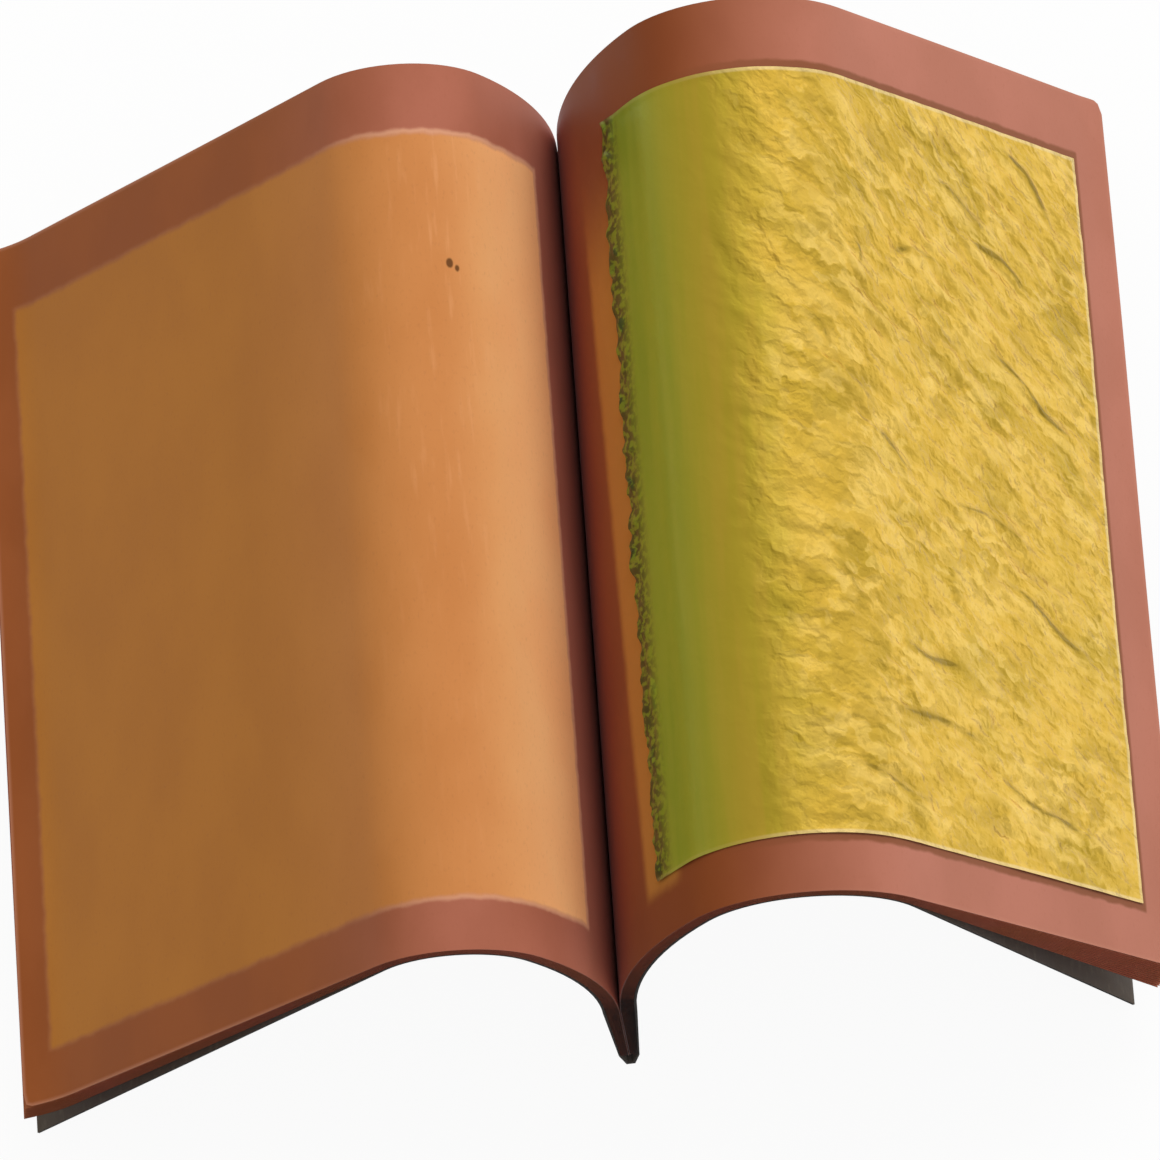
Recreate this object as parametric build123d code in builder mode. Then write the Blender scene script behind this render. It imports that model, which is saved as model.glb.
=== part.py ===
from build123d import *
import os
from math import cos, radians, sin

os.makedirs("parts", exist_ok=True)

# A booklet of gold leaf, open in the middle and standing on its spine.
# X runs across the pages, Y along the spine and Z up. The origin is the middle of the spine's base.

# Sheets laid flat: the length runs along the spine, the width from the bound edge to the fore-edge
leaf_length = 93.4
leaf_width = 110.0
tissue_thickness = 0.05
sheet_gap = 0.02
leaves_under_page = 12

# Gold leaves, beaten square, each lying on its tissue with a narrow border. The open one has crept from
# the fore-edge a little, and its edge at the gutter is gathered in fine folds, so it lies narrower.
gold_side = 80.0
gold_thickness = 0.02
gold_fore_margin = 3.6
gold_foot_margin = 5.8
open_gold_gather = 12.6
open_gold_creep = 1.5

# Cover, one card that flexes on both sides of the spine
cover_thickness = 0.25
cover_gap = 0.05
cover_overhang = 3.0
fold_gap = 0.05

# Spine: the sheets are pinched together from the bound edge up to the crease
bound_edge_height = 3.0
margin_height = 15.0
gutter_gap = 0.1
spine_base_width = 0.9
pinch_share = 0.6
margin_lean = 6.5

# Staples of flat wire through the pinched margin
wire_width = 0.6
wire_thickness = 0.4
wire_bend_radius = 0.35
staple_span = 12.0
staple_clinch = 4.5
staple_height = 7.5
staple_spacing = 52.0
staple_clearance = 0.05

# Bend of the two halves from the crease outward: a soft bend, then one over the crown. The cover's
# crown bends as far as brings its fore-edge down to the table. The open page bends less, by the lift,
# the leaves under it spread over a share of that, and the open page curls back at its fore-edge. So do
# the counted leaves next under it: on the left the whole stack, on the right none.
left_soft_radius = 36.4
left_soft_angle = 35.0
left_crown_radius = 10.4
left_lift_angle = 3.5
left_spread_share = 0.3
left_curl_radius = 15.5
left_curl_angle = 24.5
left_curled_leaves = 12
right_soft_radius = 50.8
right_soft_angle = 34.3
right_crown_radius = 13.3
right_lift_angle = 11.6
right_spread_share = 0.47
right_curl_radius = 16.8
right_curl_angle = 12.0
right_curled_leaves = 0

# The open pages and the covers flex this far above the crease when they are turned
flex_height = 11.2

# Worked out from the sizes above
leaf_pitch = tissue_thickness + gold_thickness + 2 * sheet_gap
stack_depth = leaves_under_page * leaf_pitch + tissue_thickness
cover_depth = stack_depth + cover_gap
flex_distance = margin_height + flex_height
gold_end = leaf_width - gold_fore_margin
gold_start = gold_end - gold_side
cover_end = leaf_width + cover_overhang
open_leaf = leaves_under_page + 1
LEFT = -1
RIGHT = 1
soft_bends = {LEFT: (left_soft_radius, left_soft_angle), RIGHT: (right_soft_radius, right_soft_angle)}
crown_radii = {LEFT: left_crown_radius, RIGHT: right_crown_radius}
lift_angles = {LEFT: left_lift_angle, RIGHT: right_lift_angle}
spread_shares = {LEFT: left_spread_share, RIGHT: right_spread_share}
curls = {LEFT: (left_curl_radius, -left_curl_angle), RIGHT: (right_curl_radius, -right_curl_angle)}
curled_leaves = {LEFT: left_curled_leaves, RIGHT: right_curled_leaves}


def lean(across, up):
    """A point of the spine, which leans over to the right, as X and Z."""
    angle = radians(margin_lean)
    return Vector(across * cos(angle) + up * sin(angle), up * cos(angle) - across * sin(angle))


def margin_point(side, depth, height):
    """Where a face that lies `depth` under the open page passes a height above the bound edge."""
    squeeze = pinch_share + (1 - pinch_share) * height / margin_height
    return lean(side * (gutter_gap / 2 + depth * squeeze), bound_edge_height + height)


def heading(side, angle):
    """A direction in X and Z, `angle` degrees outward from upright."""
    return Vector(side * sin(radians(angle)), cos(radians(angle)))


def bend_radius(radius, turn, depth):
    """Deeper faces run inside the page's bends, and outside where it bends back."""
    return radius - depth if turn > 0 else radius + depth


def arc_length(radius, turn):
    return radius * abs(radians(turn))


def sheet_stretches(side, depth, order):
    """A leaf as (radius at the page, turn, length at its own face), straight where the turn is 0."""
    spread = spread_shares[side] * order / leaves_under_page
    crown_turn = cover_turns[side] - lift_angles[side] * (1 - spread)
    bent = [soft_bends[side], (crown_radii[side], crown_turn)]
    if order <= curled_leaves[side]:
        bent.append(curls[side])
    curved = [
        (radius, turn, arc_length(bend_radius(radius, turn, depth), turn))
        for radius, turn in bent
    ]
    straight = leaf_width - margin_height - sum(length for _, _, length in curved)
    return curved[:2] + [(0, 0, straight)] + curved[2:]


def cover_stretches(side, crown_turn):
    """A cover bends over the crown and then runs straight down to the table."""
    curved = [
        (radius, turn, arc_length(radius - cover_depth, turn))
        for radius, turn in (soft_bends[side], (crown_radii[side], crown_turn))
    ]
    straight = cover_end - margin_height - sum(length for _, _, length in curved)
    return curved + [(0, 0, straight)]


def walk(side, depth, stretches, start, end):
    """One face from start to end, both distances from the bound edge along the sheet.

    Gives (from, to, direction at from, radius, turn) for each stretch.
    """
    foot = margin_point(side, depth, 0)
    crease = margin_point(side, depth, margin_height)
    steps = []
    if start < margin_height:
        first = foot + (crease - foot) * (start / margin_height)
        last = foot + (crease - foot) * (min(end, margin_height) / margin_height)
        steps.append((first, last, (last - first).normalized(), 0, 0))
    point = crease
    angle = side * margin_lean
    passed = margin_height
    for radius, turn, length in stretches:
        low = min(max((start - passed) / length, 0), 1)
        high = min(max((end - passed) / length, 0), 1)
        for share, kept in ((low, False), (high - low, True)):
            if share > 0:
                direction = heading(side, angle)
                if turn == 0:
                    after = point + direction * length * share
                    bend = 0
                else:
                    bend = bend_radius(radius, turn, depth)
                    swing = side * (bend if turn > 0 else -bend)
                    middle = point + Vector(direction.Y, -direction.X) * swing
                    after_direction = heading(side, angle + turn * share)
                    after = middle - Vector(after_direction.Y, -after_direction.X) * swing
                    angle += turn * share
                if kept:
                    steps.append((point, after, direction, bend, turn * share))
                point = after
        passed += length
    return steps


def draw_face(side, steps):
    """Lines and arcs along one face of a sheet."""
    for first, last, direction, bend, turn in steps:
        if turn == 0:
            Line(first, last)
        else:
            JernArc(start=first, tangent=direction, radius=bend, arc_size=-side * turn)


def sheet_outline(side, depth, thickness, stretches, start, end):
    """The closed edge view of a sheet, in the plane across the spine."""
    upper = walk(side, depth, stretches, start, end)
    lower = walk(side, depth + thickness, stretches, start, end)
    with BuildSketch(Plane.XZ) as outline:
        with BuildLine():
            draw_face(side, upper)
            draw_face(side, lower)
            Line(upper[0][0], lower[0][0])
            Line(upper[-1][1], lower[-1][1])
        make_face()
    return outline.sketch


def cut_staple_slits():
    """Opens the slits that the staple legs pass through in the sheet being built."""
    with BuildSketch(staple_plane) as slits:
        for middle in staple_places:
            for leg in (middle - staple_span / 2, middle + staple_span / 2):
                with Locations((0, leg)):
                    Rectangle(slit_reach, wire_thickness + 2 * staple_clearance)
    extrude(slits.sketch, amount=wire_width / 2 + staple_clearance, both=True, mode=Mode.SUBTRACT)


def make_sheet(name, outline, foot, length, slits):
    """Extrudes a sheet along the spine, names it and writes it."""
    with BuildPart() as sheet:
        with BuildSketch(Plane.XZ.offset(-(foot + length))):
            add(outline)
        extrude(amount=length)
        if slits:
            cut_staple_slits()
    sheet.part.label = name
    export_step(sheet.part, f"parts/{name}.step")


def lands_at(side, crown_turn):
    """Height of the cover's fore-edge above the table for a turn over the crown."""
    return walk(side, cover_depth + cover_thickness, cover_stretches(side, crown_turn), 0, cover_end)[-1][1].Y


def turn_to_table(side):
    """The turn over the crown that brings the cover's fore-edge down to the table."""
    low, high = 0, 180 - side * margin_lean - soft_bends[side][1]
    for _ in range(50):
        middle = (low + high) / 2
        if lands_at(side, middle) > 0:
            low = middle
        else:
            high = middle
    return middle


cover_turns = {side: turn_to_table(side) for side in (LEFT, RIGHT)}

# Where the staples pass: two places along the spine, in a plane square to the pinched margin
staple_places = (-staple_spacing / 2, staple_spacing / 2)
staple_middle = lean(0, bound_edge_height + staple_height)
across_margin = lean(1, 0)
up_margin = lean(0, 1)
staple_plane = Plane(
    origin=(staple_middle.X, 0, staple_middle.Y),
    x_dir=(across_margin.X, 0, across_margin.Y),
    z_dir=(up_margin.X, 0, up_margin.Y),
)
slit_reach = 2 * (gutter_gap + cover_depth + cover_thickness)

# Tissue leaves and the gold leaves on them, from the open page down to the cover
first_foot = -leaf_length / 2
gold_foot = first_foot + gold_foot_margin
for side, top_leaf in ((LEFT, open_leaf), (RIGHT, open_leaf + 1)):
    for order in range(leaves_under_page + 1):
        depth = order * leaf_pitch
        stretches = sheet_stretches(side, depth, order)
        tissue_name = f"tissue_leaf_{top_leaf + side * order:02d}"
        spans = [(tissue_name, 0, leaf_width, True)]
        if order == 0:
            spans = [
                (tissue_name + "_margin", 0, flex_distance - fold_gap, True),
                (tissue_name, flex_distance, leaf_width, False),
            ]
        for name, start, end, slits in spans:
            outline = sheet_outline(side, depth, tissue_thickness, stretches, start, end)
            make_sheet(name, outline, first_foot, leaf_length, slits)
        if side == RIGHT or order > 0:
            gold_depth = depth - sheet_gap - gold_thickness
            gold_name = f"gold_leaf_{open_leaf + side * order:02d}"
            gold_span = (gold_start, gold_end)
            if order == 0:
                gold_span = (gold_start + open_gold_gather, gold_end - open_gold_creep)
            outline = sheet_outline(side, gold_depth, gold_thickness, stretches, *gold_span)
            make_sheet(gold_name, outline, gold_foot, gold_side, False)

# Covers, from their flexing line over the crown and down to the table
for side, name in ((LEFT, "front_cover"), (RIGHT, "back_cover")):
    stretches = cover_stretches(side, cover_turns[side])
    outline = sheet_outline(side, cover_depth, cover_thickness, stretches, flex_distance, cover_end)
    make_sheet(name, outline, first_foot, leaf_length, False)

# Middle of the cover: two walls that pinch the margins, drawn together to a narrow flat base
inner_base = spine_base_width / 2 - cover_thickness
wall_end = flex_distance - fold_gap
with BuildPart() as cover_spine:
    with BuildSketch(Plane.XZ.offset(-(first_foot + leaf_length))):
        with BuildLine():
            ends = {}
            for side in (LEFT, RIGHT):
                for face_depth in (cover_depth, cover_depth + cover_thickness):
                    steps = walk(side, face_depth, cover_stretches(side, cover_turns[side]), 0, wall_end)
                    draw_face(side, steps)
                    ends[side, face_depth] = steps[-1][1]
                Line(ends[side, cover_depth], ends[side, cover_depth + cover_thickness])
            Polyline(
                margin_point(LEFT, cover_depth + cover_thickness, 0),
                (-spine_base_width / 2, 0),
                (spine_base_width / 2, 0),
                margin_point(RIGHT, cover_depth + cover_thickness, 0),
            )
            Polyline(
                margin_point(LEFT, cover_depth, 0),
                (-inner_base, cover_thickness),
                (inner_base, cover_thickness),
                margin_point(RIGHT, cover_depth, 0),
            )
        make_face()
    extrude(amount=leaf_length)
    cut_staple_slits()
cover_spine.part.label = "cover_spine"
export_step(cover_spine.part, "parts/cover_spine.step")

# Staples: crown outside the back, legs through the margins, ends clinched over the front
wall_squeeze = pinch_share + (1 - pinch_share) * staple_height / margin_height
wall = gutter_gap / 2 + (cover_depth + cover_thickness) * wall_squeeze
wire_middle = wall + staple_clearance + wire_thickness / 2
for name, middle in (("foot_staple", staple_places[0]), ("head_staple", staple_places[1])):
    legs = (middle - staple_span / 2, middle + staple_span / 2)
    with BuildPart() as staple:
        with BuildSketch(staple_plane):
            with BuildLine():
                wire = FilletPolyline(
                    (-wire_middle, legs[0] + staple_clinch),
                    (-wire_middle, legs[0]),
                    (wire_middle, legs[0]),
                    (wire_middle, legs[1]),
                    (-wire_middle, legs[1]),
                    (-wire_middle, legs[1] - staple_clinch),
                    radius=wire_bend_radius,
                )
                offset(wire, amount=wire_thickness / 2, side=Side.BOTH, kind=Kind.INTERSECTION)
            make_face()
        extrude(amount=wire_width / 2, both=True)
    staple.part.label = name
    export_step(staple.part, f"parts/{name}.step")

# Places that the record repeats
for side, name in ((LEFT, "left"), (RIGHT, "right")):
    page = sheet_stretches(side, 0, 0)
    cover = cover_stretches(side, cover_turns[side])
    outer_depth = cover_depth + cover_thickness
    print(name, "page flexes at", walk(side, 0, page, 0, flex_distance)[-1][1])
    print(name, "page ends at", walk(side, 0, page, 0, leaf_width)[-1][1])
    print(name, "cover flexes at", walk(side, outer_depth, cover, 0, flex_distance)[-1][1])
    print(name, "cover ends at", walk(side, outer_depth, cover, 0, cover_end)[-1][1])
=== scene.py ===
# %% [markdown]
# # A booklet of gold leaf
# The booklet lies open in the middle and stands on its spine and its two covers. Its leaves are rust red
# tissue, and a beaten gold leaf lies on the right page. The CAD model brings every solid at its real size.
# Blender adds what the eye sees: soft paper, the stain that gold leaves on the facing page, and the foil.

# %% Load the CAD model
import math

import bpy
import numpy as np
from mathutils import Matrix, Vector, noise


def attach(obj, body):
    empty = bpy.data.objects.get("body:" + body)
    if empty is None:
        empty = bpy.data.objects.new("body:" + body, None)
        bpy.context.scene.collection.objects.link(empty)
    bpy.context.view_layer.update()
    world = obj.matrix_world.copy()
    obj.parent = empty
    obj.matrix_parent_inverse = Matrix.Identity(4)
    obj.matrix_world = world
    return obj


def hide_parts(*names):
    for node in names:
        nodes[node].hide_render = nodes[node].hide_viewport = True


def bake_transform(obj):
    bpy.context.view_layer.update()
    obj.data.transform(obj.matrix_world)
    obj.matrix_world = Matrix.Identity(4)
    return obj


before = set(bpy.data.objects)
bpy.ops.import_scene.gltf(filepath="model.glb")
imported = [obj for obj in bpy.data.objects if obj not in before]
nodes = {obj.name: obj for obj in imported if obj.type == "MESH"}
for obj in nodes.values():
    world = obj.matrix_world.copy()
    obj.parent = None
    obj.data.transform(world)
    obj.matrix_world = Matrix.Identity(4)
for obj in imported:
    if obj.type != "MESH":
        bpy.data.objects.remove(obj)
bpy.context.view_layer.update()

mm = 0.001
LEFT, RIGHT = -1, 1

# %% [markdown]
# ## Camera
# The view is from above and a little from the right, rolled so that the gutter leans. The camera stands
# almost a metre away, so the pages show little perspective. Its place, its roll and its lens were fitted to
# the corners of the two open pages.

# %% Place the camera
elevation = math.radians(68.5)
azimuth = math.radians(23.19)
roll = math.radians(-28.87)
distance = 911 * mm
looked_at = Vector((1.47, -1.5, 20)) * mm
focal_pixels = 9021
picture_pixels = 1160
sensor_width = 36
backward = Vector((
    math.sin(azimuth) * math.cos(elevation),
    -math.cos(azimuth) * math.cos(elevation),
    math.sin(elevation),
))
level = Vector((math.cos(azimuth), math.sin(azimuth), 0))
upward = backward.cross(level)
picture_x = level * math.cos(roll) + upward * math.sin(roll)
picture_y = upward * math.cos(roll) - level * math.sin(roll)
stand = looked_at + backward * distance
bpy.ops.object.select_all(action="DESELECT")
bpy.ops.object.camera_add()
camera = bpy.context.active_object
camera.name = "camera"
camera.data.sensor_width = sensor_width
camera.data.lens = sensor_width * (focal_pixels / picture_pixels)
camera.data.clip_start = 0.01
camera.matrix_world = Matrix((
    (picture_x.x, picture_y.x, backward.x, stand.x),
    (picture_x.y, picture_y.y, backward.y, stand.y),
    (picture_x.z, picture_y.z, backward.z, stand.z),
    (0, 0, 0, 1),
))
bpy.context.scene.camera = camera
print("camera at", [round(v, 3) for v in stand])

# %% [markdown]
# ## Sizes of the sheets
# Every sheet is drawn by its edge view, a chain of arcs and straights that starts at the bound edge. The
# numbers are those of the CAD part, so a sheet made here lies exactly where its solid does.

# %% Sizes in metres, angles in degrees
leaf_length = 93.4 * mm
leaf_width = 110.0 * mm
tissue_thickness = 0.05 * mm
gold_thickness = 0.02 * mm
margin_height = 15.0 * mm
bound_edge_height = 3.0 * mm
gutter_gap = 0.1 * mm
margin_lean = 6.5
flex_distance = 26.2 * mm
gold_length = 80.0 * mm
gold_foot = -40.9 * mm
gold_start = 39.0 * mm
gold_end = 104.9 * mm
gold_lift = 0.05 * mm
# Each side's bends as (radius in mm, turn): the soft bend out of the binding, the crown, the curl at the end
bends = {
    LEFT: ((36.4, 35.0), (10.4, 100.6), (15.5, -24.5)),
    RIGHT: ((50.8, 34.3), (13.3, 105.8), (16.8, -12.0)),
}
print("the open gold leaf covers", round((gold_end - gold_start) / mm, 1), "mm of its page")


# %% The edge view of an open page
def heading(side, angle):
    """A direction in the edge view, so many degrees outward from upright."""
    return Vector((side * math.sin(math.radians(angle)), 0, math.cos(math.radians(angle))))


def above(side, angle):
    """The direction straight up from the page's face where the page heads that way."""
    along = heading(side, angle)
    return Vector((-side * along.z, 0, side * along.x))


def page_stretches(side):
    """The open page from the bound edge on, as (radius, turn, length); straight where the turn is 0."""
    curved = [(radius * mm, turn, radius * mm * math.radians(abs(turn))) for radius, turn in bends[side]]
    straight = leaf_width - margin_height - sum(length for _, _, length in curved)
    return [(0, 0, margin_height)] + curved[:2] + [(0, 0, straight)] + curved[2:]


def page_foot(side):
    """Where the open page's face starts, at the bound edge."""
    spine_up = heading(RIGHT, margin_lean)
    spine_across = Vector((spine_up.z, 0, -spine_up.x))
    return spine_across * (side * gutter_gap / 2) + spine_up * bound_edge_height


for side in (LEFT, RIGHT):
    lengths = [round(length / mm, 2) for _, _, length in page_stretches(side)]
    print("stretches of the page in mm:", lengths)


# %% Follow the page from one distance to another
def along_page(side, start, end):
    """The page's stretches from start to end, as (first point, angle there, centre, turn, length)."""
    point, angle, passed = page_foot(side), side * margin_lean, 0.0
    found = []
    for radius, turn, length in page_stretches(side):
        low = min(max(start - passed, 0), length)
        high = min(max(end - passed, 0), length)
        centre = point - above(side, angle) * math.copysign(radius, turn)
        first_angle = angle + turn * low / length
        if turn:
            first = centre + above(side, first_angle) * math.copysign(radius, turn)
            point = centre + above(side, angle + turn) * math.copysign(radius, turn)
        else:
            first = point + heading(side, angle) * low
            point = point + heading(side, angle) * length
        if high > low:
            found.append((first, first_angle, centre, turn * (high - low) / length, high - low))
        angle += turn
        passed += length
    return found


last_bit = 0.01 * mm
for side in (LEFT, RIGHT):
    fore_edge = along_page(side, leaf_width - last_bit, leaf_width)[0][0]
    print("page ends near", [round(v / mm, 2) for v in fore_edge])

# %% [markdown]
# ## Laying a sheet
# Real paper bends in one direction only. So a sheet starts as a single row of edges along the spine, and
# spin and extrude carry that row along the edge view: spin for each arc, extrude for each straight. The
# faces stay square and even, which helps the smooth shading and the creases that come later.


# %% Start with a row of edges
def only(piece):
    """Makes one object the selected and active one."""
    bpy.ops.object.select_all(action="DESELECT")
    piece.select_set(True)
    bpy.context.view_layer.objects.active = piece


def start_row(name, foot_y, length, cells):
    """A row of edges along the spine, left selected in edit mode."""
    bpy.ops.object.select_all(action="DESELECT")
    bpy.ops.mesh.primitive_grid_add(x_subdivisions=1, y_subdivisions=cells, size=length)
    row = bpy.context.active_object
    row.name = name
    row.data.name = name
    bpy.ops.object.mode_set(mode="EDIT")
    bpy.ops.mesh.select_all(action="DESELECT")
    bpy.ops.object.mode_set(mode="OBJECT")
    for vertex in row.data.vertices:
        vertex.select = vertex.co.x > 0
    bpy.ops.object.mode_set(mode="EDIT")
    bpy.ops.mesh.delete(type="VERT")
    bpy.ops.mesh.select_all(action="SELECT")
    bpy.ops.transform.translate(value=(length / 2, foot_y + length / 2, 0))
    return row


print("a sheet starts as one row of edges")


# %% Carry the row along the page
def carry_row(side, start, end, cell, lift=0.0):
    """Carries the selected row along the page's face from start to end, raised by lift."""
    runs = along_page(side, start, end)
    first, angle = runs[0][:2]
    bpy.ops.transform.translate(value=first + above(side, angle) * lift)
    for first, angle, centre, turn, length in runs:
        steps = max(1, round(length / cell))
        if turn:
            swing = math.radians(-side * turn)
            bpy.ops.mesh.spin(steps=steps, angle=swing, center=centre, axis=(0, 1, 0))
        else:
            move = heading(side, angle) * (length / steps)
            for _ in range(steps):
                bpy.ops.mesh.extrude_region_move(TRANSFORM_OT_translate={"value": move})
    bpy.ops.object.mode_set(mode="OBJECT")


print("arcs are spun, straights are extruded")

# %% [markdown]
# ### A place for every vertex
# A stain or a crease belongs to a place on the flat sheet, not in the room. So each vertex keeps its
# distance from the bound edge and its place along the spine, in millimetres, in an attribute that the
# materials read. The distance comes from a table of points along the edge view, by looking up the nearest.


# %% Points along each page
def sheet_table(side, step=0.2 * mm):
    """Points along the page's face as rows of distance, x, z and heading."""
    rows = []
    passed = 0.0
    for first, angle, centre, turn, length in along_page(side, 0, leaf_width):
        count = math.ceil(length / step)
        for i in range(count + 1):
            here = angle + turn * i / count
            if turn:
                radius = (first - centre).length
                point = centre + above(side, here) * math.copysign(radius, turn)
            else:
                point = first + heading(side, here) * (length * i / count)
            rows.append((passed + length * i / count, point.x, point.z, here))
        passed += length
    return np.array(rows)


tables = {side: sheet_table(side) for side in (LEFT, RIGHT)}
print("points along the pages:", [len(table) for table in tables.values()])


# %% Keep each vertex's place
def mesh_points(piece):
    """The vertices of a piece as an array."""
    flat = np.empty(len(piece.data.vertices) * 3)
    piece.data.vertices.foreach_get("co", flat)
    return flat.reshape(-1, 3)


def write_places(piece, places):
    """Keeps three numbers with each vertex, for the materials: distance, place along the spine, and rise."""
    name = "sheet_place"
    layer = piece.data.attributes.get(name) or piece.data.attributes.new(name, "FLOAT_VECTOR", "POINT")
    layer.data.foreach_set("vector", places.ravel())


def keep_places(piece, side):
    """Stores every vertex's place on the flat sheet, and gives it back with the page's heading there."""
    table = tables[side]
    points = mesh_points(piece)
    rows, row_of = np.unique(np.round(points[:, [0, 2]], 7), axis=0, return_inverse=True)
    gaps = np.linalg.norm(rows[:, None, :] - table[None, :, 1:3], axis=2)
    near = np.clip(gaps.argmin(axis=1), 1, len(table) - 2)
    chord = table[near + 1, 1:3] - table[near - 1, 1:3]
    share = ((rows - table[near - 1, 1:3]) * chord).sum(1) / (chord ** 2).sum(1)
    passed = table[near - 1, 0] + share * (table[near + 1, 0] - table[near - 1, 0])
    places = np.zeros((len(points), 3))
    places[:, 0] = passed[row_of.ravel()] / mm
    places[:, 1] = points[:, 1] / mm
    write_places(piece, places)
    angles = np.radians(np.interp(places[:, 0] * mm, table[:, 0], table[:, 3]))
    return places, angles


print("places are kept in millimetres of the flat sheet")

# %% [markdown]
# ### Relief and thickness
# Waves, wrinkles and worn corners are moves of the vertices: up from the page, along it and across it. The
# sheet gets its thickness after them, from a Solidify modifier that fills in below the drawn face, so both
# faces carry the same relief.


# %% Shape a sheet and make it solid
crease_angle = math.radians(40)


def shape_sheet(piece, side, angles, rise, creep, slip=0):
    """Moves every vertex up from the page, along it and across it, all in millimetres."""
    points = mesh_points(piece)
    up = np.stack([-side * np.cos(angles), np.zeros(len(angles)), np.sin(angles)], axis=1)
    points += up * rise[:, None] * mm
    ahead = np.stack([side * np.sin(angles), np.zeros(len(angles)), np.cos(angles)], axis=1)
    points += ahead * creep[:, None] * mm
    points[:, 1] += slip * mm
    piece.data.vertices.foreach_set("co", points.ravel())
    piece.data.update()


def face_up(piece, side):
    """Turns the drawn sheet's faces up before it gets its thickness."""
    only(piece)
    bpy.ops.object.mode_set(mode="EDIT")
    bpy.ops.mesh.select_all(action="SELECT")
    bpy.ops.mesh.normals_make_consistent(inside=False)
    bpy.ops.object.mode_set(mode="OBJECT")
    middle = piece.data.polygons[len(piece.data.polygons) // 2]
    table = tables[side]
    near = np.hypot(table[:, 1] - middle.center.x, table[:, 2] - middle.center.z).argmin()
    if middle.normal.dot(above(side, table[near, 3])) < 0:
        bpy.ops.object.mode_set(mode="EDIT")
        bpy.ops.mesh.flip_normals()
        bpy.ops.object.mode_set(mode="OBJECT")


def thicken(piece, thickness):
    """Gives a sheet its thickness below the drawn face, and turns all its faces outward."""
    only(piece)
    solid = piece.modifiers.new("thickness", "SOLIDIFY")
    solid.thickness = thickness
    solid.offset = -1
    bpy.ops.object.modifier_apply(modifier=solid.name)
    bpy.ops.object.mode_set(mode="EDIT")
    bpy.ops.mesh.select_all(action="SELECT")
    bpy.ops.mesh.normals_make_consistent(inside=False)
    bpy.ops.object.mode_set(mode="OBJECT")
    bpy.ops.object.shade_smooth_by_angle(angle=crease_angle)


print("sheets are shaded smooth up to", round(math.degrees(crease_angle)), "degrees")

# %% [markdown]
# ## The two open pages
# Each open page is one sheet, from the bound edge deep in the gutter to the fore-edge. In the CAD model it
# is two solids, because its bound part stays behind when the page turns. Here it stays whole. The tissue
# has slack waves away from the gutter, and handling has rounded its corners, most of all the far one of the
# right page.

# %% Waves of a handled page
wave_starts, wave_full = 45, 108
slow_height, quick_height = 0.16, 0.05


def smoothstep(value, low, high):
    """0 up to low, 1 from high on, and smooth between."""
    share = np.clip((value - low) / (high - low), 0, 1)
    return share * share * (3 - 2 * share)


def page_wave(side, places):
    """The faint waves of a handled page, in millimetres above the stack; none near the gutter."""
    u, v = places[:, 0], places[:, 1]
    slow = 0.5 + 0.5 * np.sin(v / 15.0 + u / 21.0 + side)
    quick = 0.5 + 0.5 * np.sin(v / 7.3 - u / 11.0 + 2 * side)
    return smoothstep(u, wave_starts, wave_full) * (slow_height * slow + quick_height * quick)


print("waves rise up to", round(slow_height + quick_height, 2), "mm")

# %% Round the worn corners
page_end = leaf_width / mm
page_side = leaf_length / mm / 2
# The corners at the fore-edge, as (distance, place along the spine, radius) in mm
worn_corners = {
    LEFT: ((page_end, page_side, 0.7), (page_end, -page_side, 0.9)),
    RIGHT: ((page_end, page_side, 1.3), (page_end, -page_side, 0.8)),
}


def round_corner(places, corner_u, corner_v, radius):
    """Draws the outermost vertices in to a rounded corner; gives the moves along and across the sheet."""
    inward_u = math.copysign(radius, corner_u - page_end / 2)
    inward_v = math.copysign(radius, corner_v)
    from_middle = places[:, :2] - (corner_u - inward_u, corner_v - inward_v)
    outside = (from_middle[:, 0] * inward_u > 0) & (from_middle[:, 1] * inward_v > 0)
    reach = np.maximum(np.hypot(from_middle[:, 0], from_middle[:, 1]), 1e-9)
    excess = np.where(outside & (reach > radius), reach - radius, 0)
    return -from_middle * (excess / reach)[:, None]


print("corners lie", page_end, "mm out and", page_side, "mm along")

# %% Make the pages
page_rows = 62
page_cell = 1.0 * mm
pages = {}
for side, name in ((LEFT, "left_page"), (RIGHT, "right_page")):
    page = start_row(name, -leaf_length / 2, leaf_length, page_rows)
    carry_row(side, 0, leaf_width, page_cell)
    places, angles = keep_places(page, side)
    moves = sum(round_corner(places, *corner) for corner in worn_corners[side])
    shape_sheet(page, side, angles, page_wave(side, places), moves[:, 0], moves[:, 1])
    face_up(page, side)
    thicken(page, tissue_thickness)
    pages[side] = page
    print(name, "faces:", len(page.data.polygons))

# %% [markdown]
# ## The gold leaf
# Beaten gold is far thinner than the tissue, so it takes every crease of it and adds its own. The third of
# it near the gutter lies smooth, and the rest is wrinkled on a slant that is steeper at the top. Noise that
# is stretched along that slant makes the waves, wrinkles and sharp ridges, because no two places of a real
# foil are alike.

# %% Wrinkles of the foil
slant_centre = 82.0
slant_middle = 0.405
slant_more = 0.007
# Waves and ridges as (length, width, height, seed): sizes in mm, and a seed that gives each its own pattern
foil_waves = ((6.5, 3.0, 0.34, 1.0), (3.4, 1.5, 0.24, 7.0), (1.5, 0.95, 0.13, 13.0))
foil_ridges = ((9.0, 3.0, 0.14, 17.0), (4.5, 2.0, 0.08, 19.0))
mean_height = 0.16


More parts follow.
